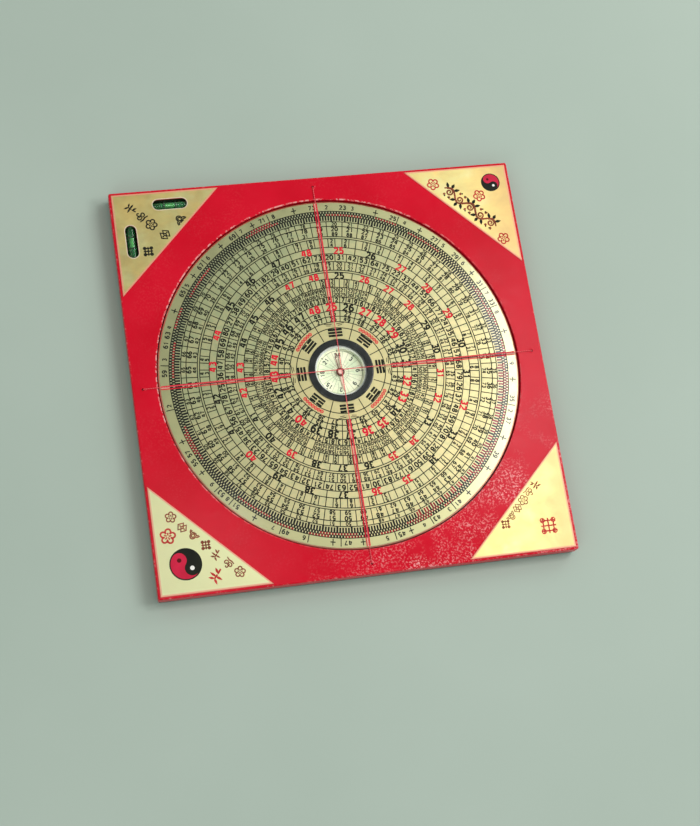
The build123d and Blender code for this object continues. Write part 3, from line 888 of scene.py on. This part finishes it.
def tapered(ink, spot, points, thick, ends=0.35):
    """A brush line, thick in its middle and thin at both ends."""
    last = len(points) - 1
    swell = [math.sin(math.pi * (0.12 + 0.76 * k / last)) for k in range(last + 1)]
    ink.stroke([spot(*p) for p in points], [thick * (ends + (1 - ends) * share) for share in swell])


def leaf(ink, spot, start, end, width):
    """A pointed leaf from one point to another."""
    axis = Vector(end) - Vector(start)
    side = Vector((-axis.y, axis.x)).normalized() * width / 2
    edge = []
    for sign in (1, -1):
        for k in range(7):
            share = k / 7 if sign > 0 else 1 - k / 7
            edge.append(Vector(start) + axis * share + side * sign * math.sin(math.pi * share ** 0.8))
    ink.area([spot(p.x, p.y) for p in edge])


def blossom(ink, spot, thick):
    """A five-petalled blossom with its stamens."""
    for k in range(5):
        turned = on_sheet(0, 0, 72 * k)
        petal = arc(0, 0.32, 0.19, 0.2, -50, 230, 9)
        ink.stroke([spot(*turned(*p)) for p in petal], thick)
        ink.stroke([spot(*turned(0, 0.07)), spot(*turned(0, 0.26))], thick * 0.8)


def cloud(ink, spot, thick):
    """A cloud head of three curls over a tail."""
    tapered(ink, spot, spiral(-0.22, 0.02, 0.27, 20, 1.2), thick)
    tapered(ink, spot, [(0.44 - x - 0.22, y) for x, y in spiral(0, 0.02, 0.27, 20, 1.2)], thick)
    tapered(ink, spot, spiral(0.0, 0.3, 0.22, -60, 0.9), thick)
    tapered(ink, spot, [(-0.46, -0.3), (-0.15, -0.38), (0.12, -0.34), (0.46, -0.46)], thick * 1.2)


def bamboo(ink, spot, thick):
    """A sprig of bamboo: a jointed stem and five leaves."""
    ink.stroke([spot(0.06, -0.5), spot(0.0, -0.12)], thick)
    ink.stroke([spot(0.0, -0.06), spot(-0.02, 0.3)], thick)
    for start, end in (((0, 0.28), (-0.42, 0.5)), ((0, 0.28), (0.36, 0.48)), ((0, 0.1), (-0.5, 0.02)),
                       ((0, 0.1), (0.5, 0.12)), ((0.02, -0.15), (0.4, -0.36))):
        leaf(ink, spot, start, end, 0.17)


def knot(ink, spot, thick):
    """An endless knot: three lines each way, joined by loops."""
    reach = 0.3
    for step in (-0.2, 0.0, 0.2):
        ink.stroke([spot(step - reach, step + reach), spot(step + reach, step - reach)], thick)
        ink.stroke([spot(step - reach, -step - reach), spot(step + reach, reach - step)], thick)
    for x, y in ((0, 0.5), (0, -0.5), (0.5, 0), (-0.5, 0)):
        ink.stroke([spot(*p) for p in arc(x * 0.86, y * 0.86, 0.12, 0.12, 0, 300, 6)], thick * 0.8, True)


def lozenges(ink, spot, thick):
    """Two interlocked lozenges with dots in them."""
    for x in (-0.17, 0.17):
        ink.stroke([spot(x - 0.3, 0), spot(x, 0.42), spot(x + 0.3, 0), spot(x, -0.42)], thick, True)
        ink.area([spot(*p) for p in arc(x * 1.5, 0, 0.08, 0.08, 0, 300, 5)])


def waves(ink, spot, thick):
    """Three arched waves, each of nested arcs."""
    for x, y in ((-0.25, -0.32), (0.25, -0.32), (0.0, 0.06)):
        for reach in (0.26, 0.13):
            ink.stroke([spot(*p) for p in arc(x, y, reach, reach * 1.25, 0, 180, 8)], thick)


ORNAMENTS = (bamboo, cloud, blossom, lozenges, waves, knot)


def yin_yang(name, x, y, radius, rim, turn, side):
    """A black disc with a red fish on it: its dots lie along the turn, its red body to that side."""
    inner = radius - rim
    half = inner / 2
    black, red, pale, dark = (Ink(plate_top, INK_LIFT * k) for k in (1.0, 1.5, 2.0, 2.0))
    spot = on_sheet(x, y, turn)
    fish = arc(0, 0, inner, inner, 90, 270, 30)
    fish += arc(0, -half, half, half, 270, 90, 16)[1:]
    fish += arc(0, half, half, half, -90, 90, 16)[1:-1]
    black.area([spot(*p) for p in arc(0, 0, radius, radius, 0, 352, 44)])
    red.area([spot(-side * right, up) for right, up in fish])
    dark.area([spot(*p) for p in arc(0, half, inner * 0.15, inner * 0.15, 0, 345, 23)])
    pale.area([spot(*p) for p in arc(0, -half, inner * 0.15, inner * 0.15, 0, 345, 23)])
    for ink, part, look in ((black, "disc", "ink_black"), (red, "fish", "ink_crimson"),
                            (dark, "dark_dot", "ink_dark_red"), (pale, "pale_dot", "ink_pale")):
        ink.piece(f"{name}_{part}", look, "board", "corner_brass")


def upper_left_print():
    """Six dark ornaments beside the levels, their tops towards the corner."""
    ink = Ink(plate_top)
    places = (
        (-112.5, 113.7), (-107.1, 108.5), (-101.5, 102.7), (-94.1, 95.5), (-83.9, 104.5), (-105.3, 85.7))
    for (x, y), kind in zip(places, ORNAMENTS):
        kind(ink, on_sheet(x, y, -45, 6.6), 0.8)
    ink.piece("plate_print_upper_left", "ink_black", "board", "corner_brass")


def lower_left_print():
    """A yin-yang, seven small ornaments along the long edge and two large red ones."""
    yin_yang("plate_yin_yang_lower_left", -107.1, -106.2, 9.4, 0.75, -53.7, -1)
    rust, red = Ink(plate_top), Ink(plate_top)
    places = (
        (-112.3, -78.0), (-106.5, -84.7), (-100.7, -90.0), (-94.3, -96.5), (-89.0, -102.7), (-83.0, -108.7),
        (-76.9, -114.3))
    for k, (x, y) in enumerate(places):
        ORNAMENTS[(k + 2) % 6](rust, on_sheet(x, y, -135, 6.0), 0.72)
    for (x, y), kind in (((-115.3, -89.0), blossom), ((-90.3, -114.7), bamboo)):
        kind(red, on_sheet(x, y, -135, 8.4), 1.0)
    rust.piece("plate_print_lower_left", "ink_rust", "board", "corner_brass")
    red.piece("plate_print_lower_left_red", "ink_brick", "board", "corner_brass")


# The leaves of a bend of the vine: the turn from its middle, the reach in swings and the width in mm
VINE_LEAVES = ((50, 2.5, 1.9), (95, 2.3, 2.0), (140, 2.5, 1.9), (-60, 1.9, 1.5), (-120, 1.8, 1.5))


def vine(ink, leaves, spot, length, bends, swing):
    """A running vine along the spot's right axis, with a curl, leaves and berries in each bend."""
    steps = 14 * bends
    shares = [k / steps for k in range(steps + 1)]
    stem = [(length * (share - 0.5), swing * math.sin(math.pi * bends * share)) for share in shares]
    tapered(ink, spot, stem, 1.3, 0.5)
    for k in range(bends):
        middle = length * ((k + 0.5) / bends - 0.5)
        side = -1 if k % 2 else 1
        curl = spiral(middle, -side * swing * 0.1, swing * 0.95, 160, 1.6, 26)
        tapered(ink, spot, [(x, side * y) for x, y in curl], 1.0)
        for turn, reach, width in VINE_LEAVES:
            sine, cosine = math.sin(math.radians(turn)), math.cos(math.radians(turn))
            start, end = ((middle + swing * r * cosine, side * swing * r * sine) for r in (1.05, reach))
            leaf(leaves if turn > 0 else ink, spot, start, end, width)
        for x, y in ((0.5, -1.35), (-0.4, -1.5)):
            berry = arc(middle + swing * x, side * swing * y, 0.55, 0.55, 0, 315, 7)
            leaves.area([spot(*p) for p in berry])


def upper_right_print():
    """A yin-yang in the corner, a vine along the long edge and three red blossoms."""
    yin_yang("plate_yin_yang_upper_right", 112.5, 112.25, 6.0, 0.6, -36.2, 1)
    rust, dark, red = Ink(plate_top), Ink(plate_top, INK_LIFT * 1.3), Ink(plate_top, INK_LIFT * 1.6)
    vine(rust, dark, on_sheet(96.7, 96.8, 45), 40.0, 5, 2.7)
    for x, y in ((75.7, 114.0), (114.3, 74.3), (103.8, 104.0)):
        blossom(red, on_sheet(x, y, 45, 7.0), 0.8)
    rust.piece("plate_print_upper_right_vine", "ink_rust", "board", "corner_brass")
    dark.piece("plate_print_upper_right_leaves", "ink_black", "board", "corner_brass")
    red.piece("plate_print_upper_right_blossoms", "ink_brick", "board", "corner_brass")


def lower_right_print():
    """The hidden plate, taken to be like its neighbours: ornaments along the long edge and a knot."""
    rust, red = Ink(plate_top), Ink(plate_top)
    middle, step = 94.2, 4.402
    for k, kind in enumerate(ORNAMENTS):
        shift = step * (k - 2.5)
        kind(rust, on_sheet(middle - shift, -middle - shift, 135, 5.8), 0.5)
    knot(red, on_sheet(109.0, -109.0, 135, 11.0), 0.8)
    rust.piece("plate_print_lower_right", "ink_rust", "board", "corner_brass")
    red.piece("plate_print_lower_right_red", "ink_brick", "board", "corner_brass")


# Levels


def lathed(profile, closed, along_x, middle, steps):
    """Corners in mm and faces of a profile of (shift, reach) turned about an axis along X or Y."""
    corners, faces = [], []
    for shift, reach in profile:
        for k in range(steps):
            turn = 2 * math.pi * k / steps
            across, up = reach * math.cos(turn), reach * math.sin(turn)
            point = (shift, across, up) if along_x else (-across, shift, up)
            corners.append([p + m for p, m in zip(point, middle)])
    for row in range(len(profile) if closed else len(profile) - 1):
        start, following = row * steps, (row + 1) % len(profile) * steps
        for k in range(steps):
            after = (k + 1) % steps
            faces.append([start + k, start + after, following + after, following + k])
    if not closed:
        faces.append(list(reversed(range(steps))))
        faces.append([(len(profile) - 1) * steps + k for k in range(steps)])
    return corners, faces


def level_filling(name, along_x, middle, radius, length):
    """The clear liquid of a vial, a bar whose ends are a little hollow, in place of the CAD one."""
    turns = [math.pi / 2 * k / 6 for k in range(1, 7)]
    profile = [(-length / 2 + radius * 0.25 * (1 - math.sin(t)), radius * math.sin(t)) for t in turns]
    profile += [(-shift, reach) for shift, reach in reversed(profile)]
    corners, faces = lathed(profile, False, along_x, middle, 40)
    filling = add_mesh("vial_filling_" + name, corners, faces, looks["vial_liquid"])
    filling.data.shade_smooth()
    filling.visible_shadow = False
    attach(filling, "board")
    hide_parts("vial_liquid_" + name)


def level_lines(name, along_x, middle, radius):
    """Two black lines painted round the tube, one at each end of the resting bubble."""
    from_middle, half_width, sink, rise = 3.5, 0.2, 0.02, 0.03
    corners, faces = [], []
    for shift in (-from_middle, from_middle):
        profile = [(shift - half_width, radius - sink), (shift + half_width, radius - sink),
                   (shift + half_width, radius + rise), (shift - half_width, radius + rise)]
        ring_corners, ring_faces = lathed(profile, True, along_x, middle, 36)
        faces += [[len(corners) + k for k in (a, d, c, b)] for a, b, c, d in ring_faces]
        corners += ring_corners
    lines = add_mesh("vial_lines_" + name, corners, faces, looks["plug_black"])
    lines.data.shade_smooth()
    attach(lines, "board")


def level_pieces():
    """The liquid and the lines of both vials."""
    for name, along_x in (("across", True), ("along", False)):
        tube = high("vial_tube_" + name) - low("vial_tube_" + name)
        liquid_low, liquid_high = low("vial_liquid_" + name), high("vial_liquid_" + name)
        middle, size = (liquid_low + liquid_high) / 2, liquid_high - liquid_low
        level_filling(name, along_x, middle, size.z / 2, size.x if along_x else size.y)
        level_lines(name, along_x, middle, tube.z / 2)


def window_rims():
    """A painted highlight: a bright rim round each of the two windows."""
    ink = Ink(plate_top, INK_LIFT * 0.7)
    radius = window_width / 2 + 0.2
    straight = (window_length - window_width) / 2
    for name, turn in (("across", 0), ("along", 90)):
        middle = (low("vial_tube_" + name) + high("vial_tube_" + name)) / 2
        spot = on_sheet(middle.x, middle.y, turn)
        outline = arc(straight, 0, radius, radius, -90, 90, 12)
        outline += arc(-straight, 0, radius, radius, 90, 270, 12)
        ink.stroke([spot(*p) for p in outline], 0.45, True)
    ink.piece("plate_window_highlights", "window_highlight_paint", "board", "corner_brass")


def let_light_in():
    """Lamps shine through the capsule's glass and the vials."""
    nodes["capsule_glass"].visible_shadow = False
    for name in ("across", "along"):
        nodes["vial_tube_" + name].visible_shadow = False
        nodes["vial_bubble_" + name].visible_shadow = False


# Studio


def lamp(name, place, aim, width, height, power, colour=(1.0, 1.0, 1.0), roll=0.0):
    """A soft rectangular lamp, in metres and watts, that looks at a point."""
    data = bpy.data.lights.new(name, "AREA")
    data.shape = "RECTANGLE"
    data.size, data.size_y = width, height
    data.energy = power
    data.color = colour
    obj = bpy.data.objects.new(name, data)
    obj.location = place
    turn = (Vector(aim) - Vector(place)).to_track_quat("-Z", "Y")
    obj.rotation_euler = (turn.to_matrix() @ Euler((0, 0, math.radians(roll))).to_matrix()).to_euler()
    bpy.context.scene.collection.objects.link(obj)


def glint(name, x, y, width, depth, brightness, roll=0.0):
    """A small lamp that looks straight down and is mirrored in the gloss, of a power for its brightness."""
    power = brightness * math.pi * width * depth
    lamp(name, (x, y, lamp_height), (x, y, 0), width, depth, power, roll=roll)


def camera():
    scene = bpy.context.scene
    data = bpy.data.cameras.new("camera")
    data.lens = camera_lens
    data.sensor_width = camera_sensor
    data.sensor_fit = "AUTO"
    data.clip_start = 0.05
    obj = bpy.data.objects.new("camera", data)
    obj.location = camera_place
    obj.rotation_euler = camera_turn
    scene.collection.objects.link(obj)
    scene.camera = obj
    scene.view_settings.view_transform = "Standard"


def backdrop():
    """A plain pale floor, and a world of plain walls under a darker ceiling."""
    look = coat("floor", (0.40, 0.49, 0.42), (0.44, 0.53, 0.46), 0.75, 300, 0.05, Specular_IOR_Level=0.15)
    reach, drop = floor_size / 2 / MM, floor_drop / MM
    corners = [(x * reach, y * reach, -drop) for x, y in ((-1, -1), (1, -1), (1, 1), (-1, 1))]
    add_mesh("floor", corners, [(0, 1, 2, 3)], look)

    world = bpy.data.worlds.new("studio")
    world.use_nodes = True
    bpy.context.scene.world = world
    graph = Graph(world.node_tree)
    rays = graph.node("LightPath").outputs
    seen = graph.math("MAXIMUM", rays["Is Camera Ray"], rays["Is Glossy Ray"])
    seen = graph.math("MAXIMUM", seen, rays["Is Transmission Ray"])
    rise = graph.part(graph.node("TexCoord").outputs["Generated"], 2)
    rise = graph.spread(rise, ceiling_start, ceiling_end, smooth=True)
    walls = graph.mix(rise, wall_colour, ceiling_colour)
    shader = graph.tree.nodes["Background"]
    graph.feed(shader.inputs["Color"], graph.mix(seen, ambient_colour, walls))


def lamps():
    """Soft lamps at the right, at the left and overhead, and two glints on the dial's right margin."""
    centre = (0, 0, 0)
    lamp("key_lamp", (1.3, 0.95, 1.0), centre, 0.8, 0.8, 5.8, (0.96, 1.0, 0.98))
    lamp("left_lamp", (-0.55, -0.75, 0.7), (-0.1, -0.1, 0), 0.5, 0.5, 1.3, (0.97, 1.0, 0.97))
    lamp("side_lamp", (0.88, 0.34, lamp_height), centre, 0.3, 0.3, 5.2, (1.0, 0.95, 0.97))
    lamp("right_lamp", (1.2, -0.1, 1.3), centre, 0.5, 0.5, 8.2, (1.0, 0.97, 0.97))
    lamp("front_lamp", (0.02, 0.17, lamp_height), centre, 0.2, 0.2, 0.45)
    glint("rim_glint", 0.552, 0.44, 0.05, 0.34, 13)
    glint("low_rim_glint", 0.495, 0.28, 0.04, 0.14, 9, -36)


# Making

finish_nodes()
dial_lines()
dial_scale()
dial_margin()
dial_small_marks()
dial_large_marks()
dial_trigrams()
dial_axes()
card_print()
upper_left_print()
lower_left_print()
upper_right_print()
lower_right_print()
window_rims()
level_pieces()
let_light_in()
camera()
backdrop()
lamps()
